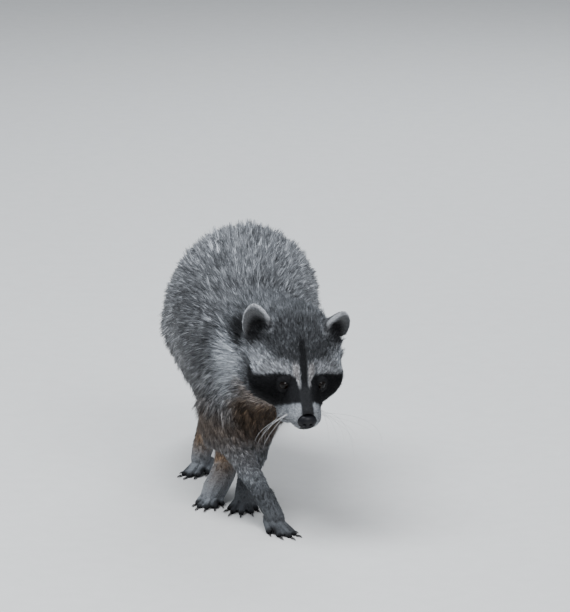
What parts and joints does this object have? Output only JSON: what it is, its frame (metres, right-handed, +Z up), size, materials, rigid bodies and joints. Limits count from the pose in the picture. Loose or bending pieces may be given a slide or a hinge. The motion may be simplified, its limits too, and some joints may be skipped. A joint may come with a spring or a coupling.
{
  "type": "raccoon figure",
  "caption": "Life-size walking raccoon figure with lowered head, masked face, one forefoot reaching forward and a ringed tail resting on the ground.",
  "frame": {"origin": "on the ground, under the middle of the figure", "axes": "+Z up; the raccoon faces -Y and its left side is towards +X; the tail trails towards +Y"},
  "size_m": [0.2688, 0.709, 0.3117],
  "materials": {
    "grey_coat": "grizzled fur",
    "dark_coat": "short dark fur",
    "pale_coat": "short pale fur",
    "feet": "short fur over bare soles",
    "nose": "moist leather",
    "eyes": "polished",
    "whiskers": "stiff hair",
    "claws": "horn"
  },
  "bodies": {
    "root": {"claw_front_left_1": "claws", "claw_front_left_2": "claws", "claw_front_left_3": "claws", "claw_front_left_4": "claws", "claw_front_left_5": "claws", "claw_front_right_1": "claws", "claw_front_right_2": "claws", "claw_front_right_3": "claws", "claw_front_right_4": "claws", "claw_front_right_5": "claws", "claw_hind_left_1": "claws", "claw_hind_left_2": "claws", "claw_hind_left_3": "claws", "claw_hind_left_4": "claws", "claw_hind_left_5": "claws", "claw_hind_right_1": "claws", "claw_hind_right_2": "claws", "claw_hind_right_3": "claws", "claw_hind_right_4": "claws", "claw_hind_right_5": "claws", "ear_left": "dark_coat", "ear_right": "dark_coat", "eye_left": "eyes", "eye_right": "eyes", "foot_front_left": "feet", "foot_front_right": "feet", "foot_hind_left": "feet", "foot_hind_right": "feet", "foreleg_left": "grey_coat", "foreleg_right": "grey_coat", "head": "dark_coat", "hindleg_left": "grey_coat", "hindleg_right": "grey_coat", "lower_jaw": "pale_coat", "muzzle": "pale_coat", "neck": "grey_coat", "nose": "nose", "tail_1": "grey_coat", "tail_2": "grey_coat", "tail_3": "grey_coat", "tail_4": "dark_coat", "trunk": "grey_coat", "whisker_left_1": "whiskers", "whisker_left_2": "whiskers", "whisker_right_1": "whiskers", "whisker_right_2": "whiskers"}
  },
  "joints": []
}
